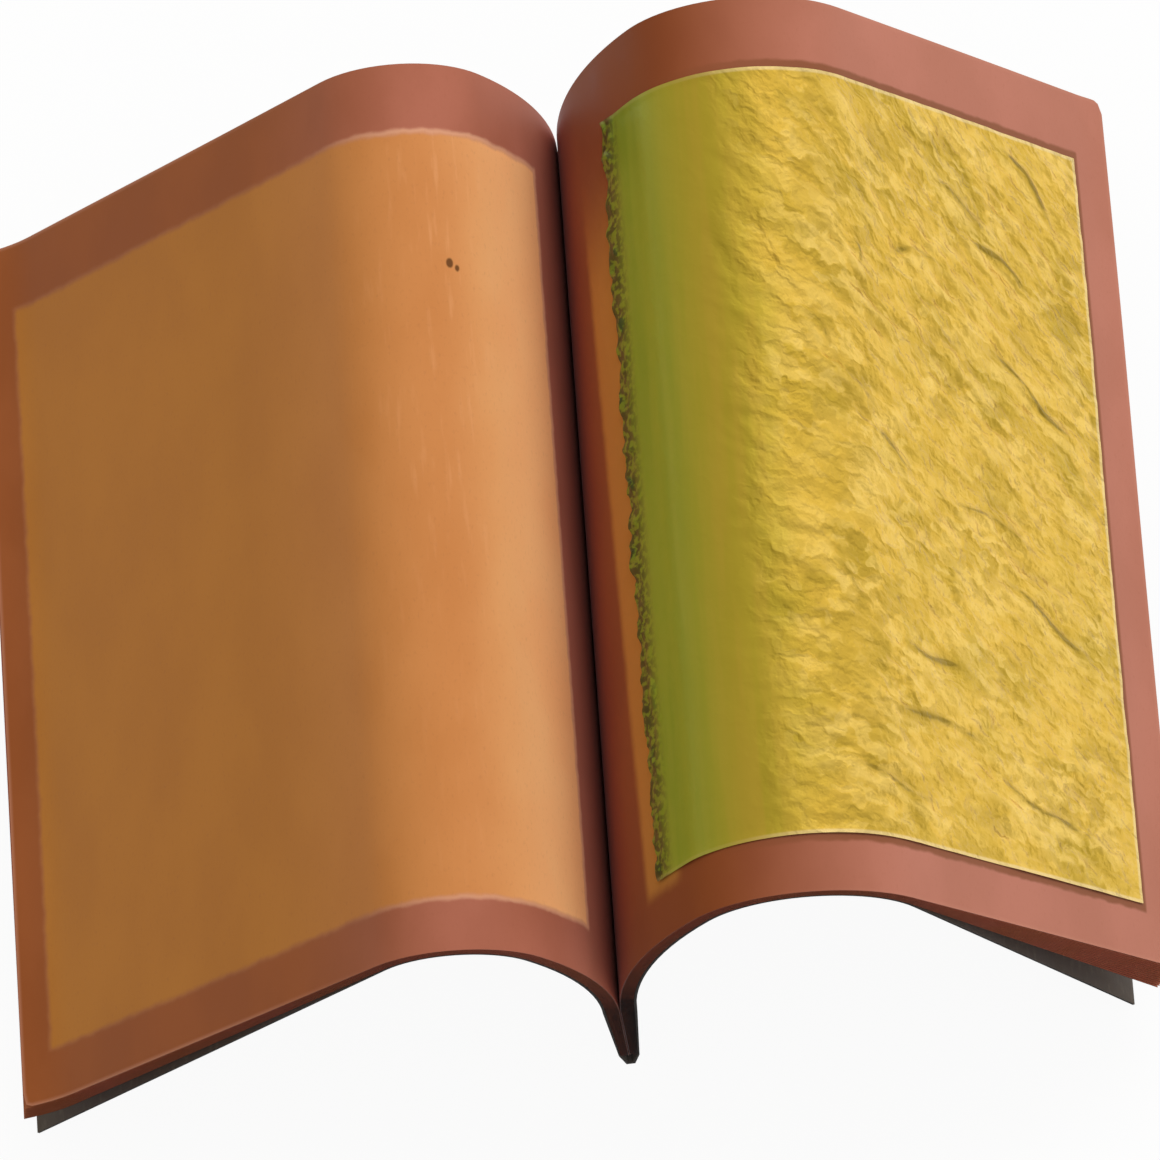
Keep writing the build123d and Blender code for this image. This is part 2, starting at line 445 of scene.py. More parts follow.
def foil_noise(u, v):
    """Heights of the fine wrinkles, in millimetres, at one place of the foil."""
    along = u + 2.0 * noise.noise(Vector((u / 9, v / 9, 3.0)))
    slanted = v + (u - slant_centre) * (slant_middle + slant_more * v)
    across = slanted + 1.8 * noise.noise(Vector((u / 8, v / 8, 9.0)))
    total = mean_height
    for length, width, height, seed in foil_waves:
        calm = min(1.0, max(0.15, 0.6 + 1.6 * noise.noise(Vector((u / 12, v / 12, seed + 0.5)))))
        total += height * calm * noise.noise(Vector((along / length, across / width, seed)))
    for length, width, height, seed in foil_ridges:
        value = abs(noise.noise(Vector((along / length, across / width, seed))))
        broken = noise.noise(Vector((u / 4.4, v / 4.4, seed + 0.5)))
        total += height * max(0.0, 1 - value * 5) * min(1.0, max(0.0, 0.1 + 2.4 * broken))
    return max(0.0, total)


print("layers of noise in the foil:", len(foil_waves) + len(foil_ridges))

# %% [markdown]
# ### Long folds
# A few folds run further than noise would make them. They are listed one by one, each from one place to
# another, and they fade out at both ends.

# %% Long folds
# Each fold as (its start, its end, its height), with places on the flat sheet, all in mm
folds = (
    ((93.5, 37.3), (99.8, 31.7), 0.20),
    ((87.0, 26.0), (95.3, 22.4), 0.17),
    ((89.0, 13.6), (101.2, 6.9), 0.17),
    ((68.7, 21.5), (70.5, 19.6), 0.12),
    ((74.9, 21.8), (82.5, 22.4), 0.11),
    ((62.5, 13.2), (65.9, 9.8), 0.11),
    ((69.5, 1.5), (75.4, -1.4), 0.12),
    ((80.8, -3.4), (92.8, -5.9), 0.12),
    ((72.1, -19.9), (80.1, -21.8), 0.13),
    ((88.8, -11.1), (99.7, -15.7), 0.14),
    ((67.8, -26.9), (83.0, -28.5), 0.11),
    ((63.5, -12.9), (67.6, -16.6), 0.10),
    ((63.7, -34.0), (73.8, -36.0), 0.11),
    ((84.7, -31.8), (96.2, -35.8), 0.13),
    ((82.0, 31.1), (90.0, 27.7), 0.12),
)
tallest_fold = 0.2


def fold_strength(places, offset=0.0, width=0.38):
    """1 along the tallest fold, or beside it by an offset in millimetres, fading to 0 over the width."""
    u, v = places[:, 0], places[:, 1]
    strength = np.zeros(len(u))
    for (u0, v0), (u1, v1), height in folds:
        length = math.hypot(u1 - u0, v1 - v0)
        du, dv = (u1 - u0) / length, (v1 - v0) / length
        share = ((u - u0) * du + (v - v0) * dv) / length
        off = (u - u0) * dv - (v - v0) * du + 0.5 * np.sin(share * 5 + u0) - offset
        taper = smoothstep(share, -0.15, 0.25) * smoothstep(-share, -1.15, -0.75)
        bulge = np.exp(-np.abs(off / width) ** 1.5)
        strength = np.maximum(strength, height / tallest_fold * taper * bulge)
    return strength


print("folds laid by hand:", len(folds))

# %% [markdown]
# ### Edges of the leaf
# At the gutter the foil is gathered into a ragged, crumpled band. Its other three edges lift a little and
# catch the light, and just inside them the wrinkles grow calm, so the square keeps its straight outline.

# %% The foil's height and its ragged edge
wrinkles_start, wrinkles_full = 52.5, 61.5
calm_border = 3.0
crumple_height = 0.42
flutter_height = 0.13


def noise_field(places, across, along, seed):
    """Noise at every place, with patterns so many millimetres wide and long."""
    return np.array([noise.noise(Vector((a / across, b / along, seed))) for a, b in places[:, :2]])


def noise_line(v, length, lane, seed):
    """Noise that changes along the spine only."""
    return np.array([noise.noise(Vector((lane, b / length, seed))) for b in v])


def foil_rise(places):
    """Height of the foil above the page, in millimetres."""
    u, v = places[:, 0], places[:, 1]
    fine = np.array([foil_noise(a, b) for a, b in places[:, :2]])
    wander = noise_line(v, 9, 0.0, 5.0)
    to_side = np.minimum(v - gold_foot / mm, (gold_foot + gold_length) / mm - v)
    to_edge = np.minimum(gold_end / mm - u, to_side)
    wrinkled = 0.05 + 0.95 * smoothstep(u + 3 * wander, wrinkles_start, wrinkles_full)
    rise = fine * wrinkled * (0.3 + 0.7 * smoothstep(to_edge, 0, calm_border))
    rise += tallest_fold * fold_strength(places)
    crumpled = smoothstep(-u, -42.2 - 0.8 * np.sin(v / 6), -39.6)
    rough = np.abs(noise_field(places, 0.9, 1.5, 31.0)) + np.abs(noise_field(places, 1.6, 2.6, 35.0))
    rise += crumple_height * crumpled * rough
    flutter = 0.6 + 0.6 * noise_field(places, 4, 4, 41.0)
    rise += flutter_height * flutter * smoothstep(-to_edge, -1.0, 0)
    return rise


def foil_creep(places):
    """How far the ragged edge strays along the page, in millimetres."""
    u, v = places[:, 0], places[:, 1]
    ragged = 0.7 * noise_line(v, 3.1, 1.0, 51.0) + 0.5 * noise_line(v, 0.9, 1.0, 55.0)
    return ragged * smoothstep(-u, -42.0, -gold_start / mm)


print("wrinkles start", wrinkles_start, "mm from the bound edge")

# %% [markdown]
# ### The foil itself
# The mesh needs cells far smaller than a wrinkle, so it has about three to a millimetre. With each vertex
# goes the wrinkle's height, less the long folds, so that the material can paint a fold as a dark line of
# painted shade with a band of painted highlight beside it, and paint low places darker and high ones
# lighter.

# %% Make the gold leaf
foil_rows = 218
foil_cell = 0.365 * mm
gold_leaf = start_row("gold_leaf", gold_foot, gold_length, foil_rows)
carry_row(RIGHT, gold_start, gold_end, foil_cell, lift=gold_lift)
places, angles = keep_places(gold_leaf, RIGHT)
wrinkle = foil_rise(places)
rise = page_wave(RIGHT, places) + wrinkle
shape_sheet(gold_leaf, RIGHT, angles, rise, foil_creep(places))
# The third number drives painted shade along the folds and a painted highlight beside them
painted_highlight_beside_folds = fold_strength(places, offset=1.1, width=0.7)
places[:, 2] = wrinkle - 0.95 * fold_strength(places) + 0.4 * painted_highlight_beside_folds
write_places(gold_leaf, places)
face_up(gold_leaf, RIGHT)
thicken(gold_leaf, gold_thickness)
print("gold leaf faces:", len(gold_leaf.data.polygons))
heights = np.percentile(wrinkle[places[:, 0] > wrinkles_full], (0, 10, 50, 90, 100))
print("wrinkle heights in mm, low to high:", heights.round(3))

# %% [markdown]
# ## Materials
# A few short helpers keep the node trees readable. Colours are written as a screen shows them, 0 to 255, and
# turned into the linear numbers that Blender wants.


# %% Helpers for colours and nodes
def srgb(red, painted_shade_green, blue):
    """A screen colour, 0 to 255, as a linear colour with full alpha."""
    linear = [((part / 255 + 0.055) / 1.055) ** 2.4 if part > 10 else part / 255 / 12.92
              for part in (red, painted_shade_green, blue)]
    return (*linear, 1.0)


def new_material(name):
    """A new material and its main shader node."""
    material = bpy.data.materials.new(name)
    material.use_nodes = True
    return material, material.node_tree.nodes["Principled BSDF"]


def add(material, kind, inputs=None, **settings):
    """Adds a shader node. An input's value is a number, a colour or another node's output."""
    made = material.node_tree.nodes.new("ShaderNode" + kind)
    for key, value in settings.items():
        setattr(made, key, value)
    for key, value in (inputs or {}).items():
        if isinstance(value, bpy.types.NodeSocket):
            material.node_tree.links.new(value, made.inputs[key])
        else:
            made.inputs[key].default_value = value
    return made


def plug(material, output, node_input):
    """Links one node's output to another node's input."""
    material.node_tree.links.new(output, node_input)


print("a mid grey of 128 is", round(srgb(128, 128, 128)[0], 3), "in linear light")


# %% Helpers for sums, fades and noise
def calc(material, operation, a, b=0.0):
    """One sum, such as ADD, MULTIPLY or MAXIMUM, on two values."""
    return add(material, "Math", {0: a, 1: b}, operation=operation).outputs[0]


def mix(material, factor, a, b):
    """Goes from colour a to colour b while factor goes from 0 to 1."""
    return add(material, "Mix", {0: factor, 6: a, 7: b}, data_type="RGBA").outputs[2]


def fade(material, value, low, high, to_low=0.0, to_high=1.0):
    """Goes smoothly from one number to another while value goes from low to high."""
    made = add(material, "MapRange", {"Value": value, "From Min": low, "From Max": high,
                                      "To Min": to_low, "To Max": to_high}, interpolation_type="SMOOTHSTEP")
    return made.outputs["Result"]


def between(material, value, low, high, soft):
    """1 inside low to high, 0 outside, with soft edges."""
    rising = fade(material, value, low - soft, low + soft)
    falling = fade(material, value, high - soft, high + soft, 1.0, 0.0)
    return calc(material, "MULTIPLY", rising, falling)


def grain(material, vector, scale, detail=3.0, stretch=(1, 1, 1), **extra):
    """Noise from 0 to 1, stretched along an axis where its number is below 1."""
    moved = add(material, "Mapping", {"Vector": vector, "Scale": stretch})
    inputs = {"Vector": moved.outputs[0], "Scale": scale, "Detail": detail}
    inputs.update(extra)
    return add(material, "TexNoise", inputs).outputs["Fac"]


print("sums, fades and noise are one line each")


# %% Helpers for places on a sheet
def flat_place(material):
    """The place on the flat sheet in millimetres: the vector, its distance and its place along the spine."""
    place = add(material, "Attribute", attribute_name="sheet_place").outputs["Vector"]
    parts = add(material, "SeparateXYZ", {"Vector": place})
    return place, parts.outputs["X"], parts.outputs["Y"]


def box(material, u, v, limits, soft):
    """1 inside a rectangle of the flat sheet, from its two distances and its two places along the spine."""
    u_low, u_high, v_low, v_high = limits
    across = between(material, u, u_low, u_high, soft)
    along = between(material, v, v_low, v_high, soft)
    return calc(material, "MULTIPLY", across, along)


def cut_edge(material):
    """1 on the faces at head and foot, where the sheet was cut, and 0 on its broad faces."""
    normal = add(material, "NewGeometry").outputs["Normal"]
    along_spine = add(material, "SeparateXYZ", {"Vector": normal}).outputs["Y"]
    return fade(material, calc(material, "ABSOLUTE", along_spine), 0.5, 0.9)


print("patterns lie on the flat sheet")

# %% [markdown]
# ### Tissue
# The tissue is a soft, fibrous paper, rubbed with red earth so that the gold doesn't stick. Where gold has
# lain, the rubbing is lighter and more orange. That stain is a rectangle in millimetres of the flat sheet,
# with its outline made ragged by noise, so it bends with the page as real dye does.

# %% The stain on the left page
left_stain = (27.3, 106.2, -41.2, 39.2)
left_rim = (26.9, 106.5, -41.5, 39.6)
dirt_specks = ((42.5, 25.2, 0.34), (41.7, 24.7, 0.22))


def stained_left(material, colour, u, v, ragged, clouds, fibres):
    """The orange square on the left page, in painted shade on its slope and painted light toward the crest
    and gutter, with a pale rim and a few streaks near the crest.
    """
    cloudy = fade(material, clouds, 0.3, 0.7)
    # Painted shade on the slope past the crest, painted light toward the crest and the gutter
    painted_shade_orange = mix(material, cloudy, srgb(188, 119, 44), srgb(195, 126, 51))
    painted_lit_orange = mix(material, cloudy, srgb(208, 133, 74), srgb(214, 140, 82))
    painted_bright_orange = mix(material, cloudy, srgb(254, 184, 122), srgb(255, 192, 130))
    painted_lit_orange = mix(material, fade(material, u, 45.0, 33.0), painted_lit_orange, painted_bright_orange)
    orange = mix(material, fade(material, u, 74.0, 36.0), painted_shade_orange, painted_lit_orange)
    near_crest = between(material, u, 32.0, 50.0, 8.0)
    streaked = calc(material, "MULTIPLY", near_crest, fade(material, v, -30.0, 25.0, 0.25, 1.0))
    streaks = calc(material, "MULTIPLY", fade(material, fibres, 0.54, 0.74, 0.0, 0.24), streaked)
    orange = mix(material, streaks, orange, srgb(244, 178, 126))
    stain = box(material, *ragged, left_stain, 0.4)
    rim = calc(material, "SUBTRACT", box(material, *ragged, left_rim, 0.3), stain)
    rim = calc(material, "MAXIMUM", rim, 0.0)
    rim = calc(material, "MULTIPLY", rim, fade(material, u, 60.0, 45.0, 0.1, 0.8))
    colour = mix(material, stain, colour, orange)
    return mix(material, rim, colour, srgb(236, 176, 140))


def specks_left(material, colour, u, v, fibres):
    """Two dark specks of dirt near the crest of the left page."""
    frayed = calc(material, "MULTIPLY", fibres, 0.15)
    for spot_u, spot_v, size in dirt_specks:
        du = calc(material, "SUBTRACT", u, spot_u)
        dv = calc(material, "MULTIPLY", calc(material, "SUBTRACT", v, spot_v), 0.7)
        du_squared = calc(material, "MULTIPLY", du, du)
        dv_squared = calc(material, "MULTIPLY", dv, dv)
        gap = calc(material, "SQRT", calc(material, "ADD", du_squared, dv_squared))
        gap = calc(material, "ADD", gap, frayed)
        colour = mix(material, fade(material, gap, size, size + 0.2, 0.9, 0.0), colour, srgb(96, 56, 18))
    return colour


print("the stain is", round(left_stain[1] - left_stain[0], 1), "mm wide on the flat page")

# %% [markdown]
# ### Round the gold leaf
# On the right page a darker line frames the gold leaf, partly stain and partly painted shadow of the lifted
# leaf, and a strip of stain shows beside its gathered edge.
# The stain goes on under the leaf, where it shows only once the leaf is lifted.

# %% The stain on the right page
stain_strip = (33.6, 41.0, -41.8, 50.0)
stain_under_gold = (40.0, 104.4, -40.5, 38.7)
stain_and_shadow_line_outer = (50.0, 105.55, -41.65, 39.95)
stain_and_shadow_line_inner = (50.0, 104.8, -40.8, 39.0)


def stained_right(material, colour, u, v, ragged):
    """The stain beside and under the gold leaf, and the dark line round its other edges, partly stain and
    partly painted shadow of the leaf.
    """
    u_ragged, v_ragged = ragged
    tilted = calc(material, "ADD", u_ragged, calc(material, "MULTIPLY", v, 0.055))
    strip = box(material, tilted, v_ragged, stain_strip, 1.0)
    strip = calc(material, "MULTIPLY", strip, fade(material, v, 36.0, 20.0))
    colour = mix(material, strip, colour, srgb(190, 128, 50))
    colour = mix(material, box(material, u, v, stain_under_gold, 0.3), colour, srgb(198, 130, 58))
    # The dark line round the leaf is partly stain and partly painted shadow of the leaf
    outer = box(material, u, v_ragged, stain_and_shadow_line_outer, 0.2)
    inner = box(material, u, v, stain_and_shadow_line_inner, 0.1)
    line = calc(material, "MAXIMUM", calc(material, "SUBTRACT", outer, inner), 0.0)
    line = calc(material, "MULTIPLY", line, fade(material, u, 48.0, 66.0, 0.0, 0.8))
    return mix(material, line, colour, srgb(126, 72, 38))


print("the strip is", round(stain_strip[1] - stain_strip[0], 1), "mm wide")

# %% [markdown]
# ### The open pages
# Each page has painted shade on one side of its crest and painted light on the other, as shaded and lit
# tones of the same tissue. The painted shade is warmer as well as darker, as shade on thin tissue looks when
# light comes through it, so the tone changes over the crest, where a lamp alone would only dim it. Fibres
# run along the spine, a paler rim is partly handling wear and partly painted highlight, the gutter is
# painted in shade, and the cut at head and foot is dark.

# %% Tissue of the open pages
# Painted shade and painted light of each page: shaded tones stand for shade, lit tones for light
page_looks = {
    LEFT: {
        "painted shade tones": (srgb(156, 84, 38), srgb(163, 90, 44)),
        "painted lit tones": (srgb(170, 99, 76), srgb(178, 106, 84)),
        "painted gutter shade": srgb(176, 78, 50),
        "painted shade to lit": (70.0, 42.0),
        "painted gutter shade ends": 27.5,
        "worn rim": 0.36,
    },
    RIGHT: {
        "painted shade tones": (srgb(138, 66, 22), srgb(144, 72, 26)),
        "painted lit tones": (srgb(179, 112, 91), srgb(186, 118, 98)),
        "painted gutter shade": srgb(156, 60, 40),
        "painted shade to lit": (46.0, 72.0),
        "painted gutter shade ends": 33.0,
        "worn rim": 0.12,
    },
}


def page_colour(material, side, place, u, v, clouds, fibres):
    """The tissue's painted shade and painted light along the bend, the stain of the gold and painted gutter
    shade.
    """
    look = page_looks[side]
    wobble = calc(material, "SUBTRACT", grain(material, place, 0.5, 3.0), 0.5)
    wobble = calc(material, "MULTIPLY", wobble, 0.7)
    ragged = (calc(material, "ADD", u, wobble), calc(material, "SUBTRACT", v, wobble))
    cloudy = fade(material, clouds, 0.35, 0.65)
    # Painted shade on one side of the crest and painted light on the other
    shaded = mix(material, cloudy, *look["painted shade tones"])
    painted_lit_side = mix(material, cloudy, *look["painted lit tones"])
    colour = mix(material, fade(material, u, *look["painted shade to lit"]), shaded, painted_lit_side)
    if side == LEFT:
        colour = stained_left(material, colour, u, v, ragged, clouds, fibres)
        colour = specks_left(material, colour, u, v, fibres)
    else:
        colour = stained_right(material, colour, u, v, ragged)
    # Painted shade in the gutter: the tissue darkens toward the bound edge
    deep = fade(material, u, 18.0, look["painted gutter shade ends"], 1.0, 0.0)
    return mix(material, deep, colour, look["painted gutter shade"])


def wear_highlight_and_cut(material, side, colour, u, v):
    """A pale rim, partly handling wear and partly painted highlight, and the dark cut at head and foot."""
    near_side = fade(material, calc(material, "ABSOLUTE", v), page_side - 0.5, page_side)
    edges = calc(material, "MAXIMUM", near_side, fade(material, u, page_end - 0.5, page_end))
    # A paler rim at the edges, partly handling wear and partly painted highlight
    wear_and_highlight = fade(material, u, 50.0, 85.0, 0.0, page_looks[side]["worn rim"])
    colour = mix(material, calc(material, "MULTIPLY", edges, wear_and_highlight), colour, srgb(222, 160, 134))
    cut = calc(material, "MULTIPLY", cut_edge(material), fade(material, u, 60.0, 100.0, 1.0, 0.55))
    return mix(material, cut, colour, srgb(70, 26, 16))


def page_tissue(name, side):
    """The tissue of one open page."""
    material, shader = new_material(name)
    place, u, v = flat_place(material)
    clouds = grain(material, place, 0.11, 4.0, (1.0, 0.6, 1.0))
    fibres = grain(material, place, 1.3, 4.0, (1.0, 0.12, 1.0))
    specks = grain(material, place, 3.2, 2.0, (1.0, 0.5, 1.0))
    colour = page_colour(material, side, place, u, v, clouds, fibres)
    colour = mix(material, fade(material, specks, 0.55, 0.8, 0.0, 0.14), colour, srgb(150, 84, 56))
    colour = wear_highlight_and_cut(material, side, colour, u, v)
    plug(material, colour, shader.inputs["Base Color"])
    plug(material, fade(material, clouds, 0.3, 0.7, 0.52, 0.64), shader.inputs["Roughness"])
    shader.inputs["Specular IOR Level"].default_value = 0.2
    shader.inputs["Sheen Weight"].default_value = 0.05
    shader.inputs["Sheen Roughness"].default_value = 0.5
    relief = calc(material, "MULTIPLY", fibres, 0.7)
    relief = calc(material, "ADD", relief, calc(material, "MULTIPLY", specks, 0.3))
    bump = add(material, "Bump", {"Strength": 0.3, "Distance": 0.00004, "Height": relief})
    plug(material, bump.outputs["Normal"], shader.inputs["Normal"])
    return material


left_tissue = page_tissue("tissue of the left page", LEFT)
right_tissue = page_tissue("tissue of the right page", RIGHT)
print("nodes in the left page's tissue:", len(left_tissue.node_tree.nodes))

# %% [markdown]
# ### The stack
# The other leaves show their cut edges, painted darker the deeper they lie and nearly black where they
# are pinched into the spine: painted shade between the leaves and in the pinch. They keep their CAD solids,
# so their tissue is drawn on Object coordinates, in metres. Each three depths share a material.


# %% Tissue of the stack
def stack_tissue(name, edge):
    """Tissue for a leaf in the stack: its faces are rust red, its cut edges darker with painted shade, as
    deep as it lies.
    """
    material, shader = new_material(name)
    place = add(material, "TexCoord").outputs["Object"]
    clouds = grain(material, place, 90.0, 4.0)
    fibres = grain(material, place, 1100.0, 3.0, (1.0, 0.14, 1.0))
    colour = mix(material, fade(material, clouds, 0.35, 0.65), srgb(182, 108, 72), srgb(189, 108, 84))
    colour = mix(material, fade(material, fibres, 0.5, 0.75, 0.0, 0.3), colour, srgb(214, 138, 104))
    along_edge = grain(material, place, 350.0, 3.0)
    # The edge tone is painted shade for the leaf's depth
    shaded_edge_colour = mix(material, fade(material, along_edge, 0.35, 0.65, 0.0, 0.4), edge, srgb(58, 30, 20))
    where = add(material, "SeparateXYZ", {"Vector": place})
    # Painted shade where the leaves are pinched low into the spine
    low = fade(material, where.outputs["Z"], 0.024, 0.040, 1.0, 0.0)
    from_left = fade(material, where.outputs["X"], -0.012, -0.004)
    to_right = fade(material, where.outputs["X"], 0.008, 0.018, 1.0, 0.0)
    painted_pinch_shade = calc(material, "MULTIPLY", low, calc(material, "MULTIPLY", from_left, to_right))
    shaded_edge_colour = mix(material, painted_pinch_shade, shaded_edge_colour, srgb(20, 10, 10))
    colour = mix(material, cut_edge(material), colour, shaded_edge_colour)
    plug(material, colour, shader.inputs["Base Color"])
    shader.inputs["Roughness"].default_value = 0.8
    shader.inputs["Specular IOR Level"].default_value = 0.1
    bump = add(material, "Bump", {"Strength": 0.3, "Distance": 0.00005, "Height": fibres})
    plug(material, bump.outputs["Normal"], shader.inputs["Normal"])
    return material


# Edge tones of painted shade, darker for each deeper band of leaves
edge_shade_tones = (srgb(88, 28, 15), srgb(68, 22, 13), srgb(46, 19, 13), srgb(32, 17, 13), srgb(22, 14, 12))
stack_tissues = [stack_tissue(f"tissue of the stack {i + 1}", tone) for i, tone in enumerate(edge_shade_tones)]
print("stack tissues:", len(stack_tissues))

# %% [markdown]
# ### Gold
# The foil is metal. Its colour is painted greener beside the gutter, as a painted reflection of the gutter's
# shade, and its edges get a pale painted highlight. The wrinkles are real geometry. Between them a crumpled
# foil breaks up into small flat facets, which soft Voronoi cells draw in a painted reflection and in a bump,
# turned to the slant of the wrinkles and warped so that no two are alike.

# %% Facets of the foil
foil, foil_shader = new_material("beaten gold")
place, u, v = flat_place(foil)
slope = calc(foil, "ADD", calc(foil, "MULTIPLY", v, slant_more), slant_middle)
slanted = calc(foil, "MULTIPLY", calc(foil, "SUBTRACT", u, slant_centre), slope)
turned = add(foil, "CombineXYZ", {"X": u, "Y": calc(foil, "ADD", slanted, v)}).outputs[0]
warp = add(foil, "TexNoise", {"Vector": place, "Scale": 0.5, "Detail": 3.0}).outputs["Color"]
warped = add(foil, "VectorMath", {0: warp, 1: (3.4, 3.0, 0), 2: turned}, operation="MULTIPLY_ADD").outputs[0]
warped = add(foil, "Mapping", {"Vector": warped, "Scale": (0.55, 1.0, 1.0)}).outputs[0]
large_facets, small_facets = [
    add(foil, "TexVoronoi", {"Vector": warped, "Scale": scale, "Smoothness": 0.5},
        feature="SMOOTH_F1", voronoi_dimensions="2D")
    for scale in (0.46, 1.15)
]
clouds = grain(foil, place, 0.35, 4.0)
patches = grain(foil, turned, 0.11, 3.0, (0.7, 1.0, 1.0), Distortion=0.5)
blots = grain(foil, turned, 0.9, 4.0, (0.9, 1.0, 1.0), Distortion=0.3)
print("nodes for the facets:", len(foil.node_tree.nodes))

# %% [markdown]
# ### Colour of the gold
# Three golds follow the bend of the page as painted reflection and shade: green beside the gutter, olive
# past it and bright beyond the crest. The bright one is then mottled, layer by layer, with darker and
# lighter golds from the patches and the facets as painted reflection, and from the wrinkles' own height as
# painted shade in low places and painted highlight on high ones.

# %% Colour of the gold
streaks = fade(foil, grain(foil, place, 0.5, 3.0, (1.0, 0.08, 1.0)), 0.35, 0.65)
# Painted shade and reflection along the bend: green beside the gutter, olive past it
painted_shade_green = mix(foil, streaks, srgb(132, 160, 30), srgb(142, 166, 36))
painted_half_shade_olive = mix(foil, streaks, srgb(197, 173, 48), srgb(204, 173, 54))
calm = mix(foil, fade(foil, clouds, 0.3, 0.7), srgb(232, 188, 68), srgb(240, 197, 78))
# Each layer of painted reflection as (value, where it starts, where it is full, how strong, its gold)
reflection_mottles = (
    (patches, 0.53, 0.36, 0.50, srgb(198, 166, 46)),
    (large_facets.outputs["Color"], 0.52, 0.24, 0.34, srgb(186, 156, 42)),
    (large_facets.outputs["Color"], 0.50, 0.78, 0.42, srgb(255, 216, 112)),
    (small_facets.outputs["Color"], 0.50, 0.24, 0.34, srgb(182, 148, 42)),
    (small_facets.outputs["Color"], 0.52, 0.78, 0.40, srgb(255, 218, 116)),
    (blots, 0.46, 0.32, 0.34, srgb(176, 144, 40)),
)
painted_mottled_reflection = calm
for value, start, full, strength, gold in reflection_mottles:
    painted_mottled_reflection = mix(foil, fade(foil, value, start, full, 0.0, strength), painted_mottled_reflection, gold)
how_rumpled = fade(foil, grain(foil, place, 0.08, 2.0), 0.40, 0.58, 0.45, 1.0)
bright = mix(foil, how_rumpled, calm, painted_mottled_reflection)
# Painted shade in folds and low places, painted highlight beside folds and on high places
height = add(foil, "SeparateXYZ", {"Vector": place}).outputs["Z"]
bright = mix(foil, fade(foil, height, -0.02, 0.12, 0.36, 0.0), bright, srgb(182, 148, 46))
bright = mix(foil, fade(foil, height, -0.28, -0.03, 0.8, 0.0), bright, srgb(146, 120, 32))
bright = mix(foil, fade(foil, height, 0.20, 0.42, 0.0, 0.5), bright, srgb(255, 216, 112))
wander = calc(foil, "SUBTRACT", grain(foil, place, 0.12, 2.0), 0.5)
u_soft = calc(foil, "ADD", u, calc(foil, "MULTIPLY", wander, 6.0))
# Painted shade near the gutter, going over to bright gold beyond the crest
foil_colour = mix(foil, fade(foil, u, 43.0, 55.0), painted_shade_green, painted_half_shade_olive)
foil_colour = mix(foil, fade(foil, u_soft, 55.0, 62.0), foil_colour, bright)
print("layers of mottling:", len(reflection_mottles))

# %% [markdown]
# ### Edges and shine
# The gathered band beside the gutter gets painted shade, darkest in its pits. The other edges get a pale
# painted highlight. The foil shines more like metal where it is bright, and a bump from the same facets
# breaks up what it mirrors.

# %% Edges and shine of the foil
inside_painted_edge = (30.0, 104.55, -40.55, 38.75)
# Painted shade on the gathered band beside the gutter, darkest in its pits
painted_crumple_shade = fade(foil, u, 39.8, 42.8, 1.0, 0.0)
painted_pit_shade = fade(foil, grain(foil, place, 1.5, 3.0), 0.40, 0.56)
painted_pit_shade = calc(foil, "MULTIPLY", painted_crumple_shade, calc(foil, "MULTIPLY", painted_pit_shade, 0.95))
foil_colour = mix(foil, calc(foil, "MULTIPLY", painted_crumple_shade, 0.6), foil_colour, srgb(104, 110, 24))
foil_colour = mix(foil, painted_pit_shade, foil_colour, srgb(58, 60, 18))
# A pale painted highlight along the other edges of the leaf
painted_edge_highlight = calc(foil, "SUBTRACT", 1.0, box(foil, u, v, inside_painted_edge, 0.12))
painted_edge_highlight = calc(foil, "MULTIPLY", painted_edge_highlight, fade(foil, u, 50.0, 62.0, 0.1, 0.7))
foil_colour = mix(foil, painted_edge_highlight, foil_colour, srgb(250, 222, 158))
plug(foil, foil_colour, foil_shader.inputs["Base Color"])
plug(foil, fade(foil, u, 44.0, 58.0, 0.12, 0.72), foil_shader.inputs["Metallic"])
plug(foil, fade(foil, clouds, 0.3, 0.7, 0.28, 0.38), foil_shader.inputs["Roughness"])
relief = calc(foil, "ADD", calc(foil, "MULTIPLY", blots, 0.5), large_facets.outputs["Distance"])
relief = calc(foil, "ADD", relief, calc(foil, "MULTIPLY", small_facets.outputs["Distance"], 0.4))
relief = calc(foil, "MULTIPLY", relief, fade(foil, u_soft, 54.0, 62.0, 0.06, 1.0))
bump = add(foil, "Bump", {"Strength": 0.9, "Distance": 0.00035, "Height": relief})
plug(foil, bump.outputs["Normal"], foil_shader.inputs["Normal"])
print("nodes in the foil:", len(foil.node_tree.nodes))

# %% Gold of the stack
stack_gold, shader = new_material("gold of the stack")
place = add(stack_gold, "TexCoord").outputs["Object"]
clouds = grain(stack_gold, place, 300.0, 4.0)
colour = mix(stack_gold, fade(stack_gold, clouds, 0.3, 0.7), srgb(222, 184, 84), srgb(206, 166, 66))
plug(stack_gold, colour, shader.inputs["Base Color"])
shader.inputs["Metallic"].default_value = 0.92
shader.inputs["Roughness"].default_value = 0.4
fine = grain(stack_gold, place, 1500.0, 4.0, Distortion=0.6)
bump = add(stack_gold, "Bump", {"Strength": 0.4, "Distance": 0.0001, "Height": fine})
plug(stack_gold, bump.outputs["Normal"], shader.inputs["Normal"])
print("nodes in the gold of the stack:", len(stack_gold.node_tree.nodes))

# %% [markdown]
# ### Card and steel
# The cover is a grey card, browner in clouds and nearly black along its cut edges. Card is pressed pulp, so
# a fine noise gives it pale flecks and its bump. The staples are flat steel wire, whose noise is stretched
# along the spine as drawing the wire leaves it.

